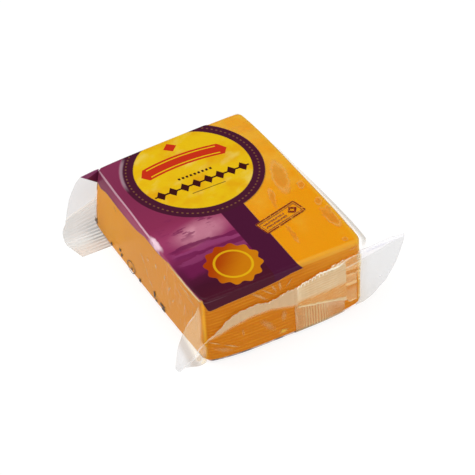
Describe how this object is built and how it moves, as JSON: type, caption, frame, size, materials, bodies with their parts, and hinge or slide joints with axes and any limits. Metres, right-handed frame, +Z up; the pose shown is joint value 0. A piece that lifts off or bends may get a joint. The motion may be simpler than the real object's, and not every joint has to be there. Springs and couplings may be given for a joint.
{
  "type": "mimolette cheese piece",
  "caption": "Flat block of orange hard cheese in tight clear film with a printed panel, its end seals folded down and corner ears standing out.",
  "frame": {"origin": "on the flat underside, below the middle of the block", "axes": "+X across the pack, to the right when the front seal faces the viewer; +Y along the pack from the front seal to the back seal; +Z up"},
  "size_m": [0.1102, 0.1015, 0.0329],
  "materials": {
    "cheese": "firm orange cheese, cut faces, slightly oily",
    "film": "clear glossy film, milky where layers lie together",
    "print": "printed film: dark purple, magenta and yellow"
  },
  "bodies": {
    "root": {"pack": "cheese"}
  },
  "joints": []
}
